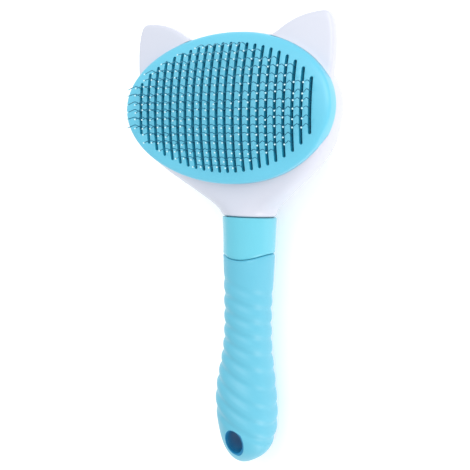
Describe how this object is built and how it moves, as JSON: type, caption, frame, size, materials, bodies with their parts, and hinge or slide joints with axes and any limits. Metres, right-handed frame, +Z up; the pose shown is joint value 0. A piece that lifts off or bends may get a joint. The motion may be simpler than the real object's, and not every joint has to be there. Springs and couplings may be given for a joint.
{
  "type": "self-cleaning slicker brush",
  "caption": "Cat-ear slicker brush with curved wire pins; a button in its back pushes a slotted plate out along the pins to lift off the hair.",
  "frame": {"origin": "centre of the bounding box's base, on the surface the brush lies on, back down and pins up", "axes": "+X across the head to the brush's left ear side, +Y from the handle to the ears, +Z up out of the pin face"},
  "size_m": [0.1, 0.1994, 0.0557],
  "materials": {
    "shell_plastic": "satin",
    "accent_plastic": "satin",
    "inner_plastic": "moulded",
    "grip_rubber": "matt",
    "pin_steel": "drawn wire",
    "screw_steel": "plated",
    "spring_steel": "drawn wire"
  },
  "bodies": {
    "head": {"head_front_shell": "shell_plastic", "head_rear_shell": "shell_plastic", "pin_plate": "inner_plastic", "pin_backing_plate": "inner_plastic", "pin_row_01": "pin_steel", "pin_row_02": "pin_steel", "pin_row_03": "pin_steel", "pin_row_04": "pin_steel", "pin_row_05": "pin_steel", "pin_row_06": "pin_steel", "pin_row_07": "pin_steel", "pin_row_08": "pin_steel", "pin_row_09": "pin_steel", "pin_row_10": "pin_steel", "pin_row_11": "pin_steel", "pin_plate_screw_1": "screw_steel", "pin_plate_screw_2": "screw_steel", "pin_plate_screw_3": "screw_steel", "pin_plate_screw_4": "screw_steel", "shell_screw_1": "screw_steel", "shell_screw_2": "screw_steel", "neck_screw": "screw_steel", "handle_core": "accent_plastic", "grip_sleeve": "grip_rubber", "return_spring_1": "spring_steel", "return_spring_2": "spring_steel"},
    "push_unit": {"hair_push_plate": "accent_plastic", "push_carrier": "inner_plastic", "push_button": "accent_plastic", "button_screw": "screw_steel"}
  },
  "joints": [
    {"name": "hair_push", "type": "slide", "parent": "head", "child": "push_unit", "axis": [0, 0, 1], "range_m": [0, 0.0075], "stiffness_N_per_m": 400, "springref_m": -0.01, "deforming": ["return_spring_1", "return_spring_2"]}
  ]
}
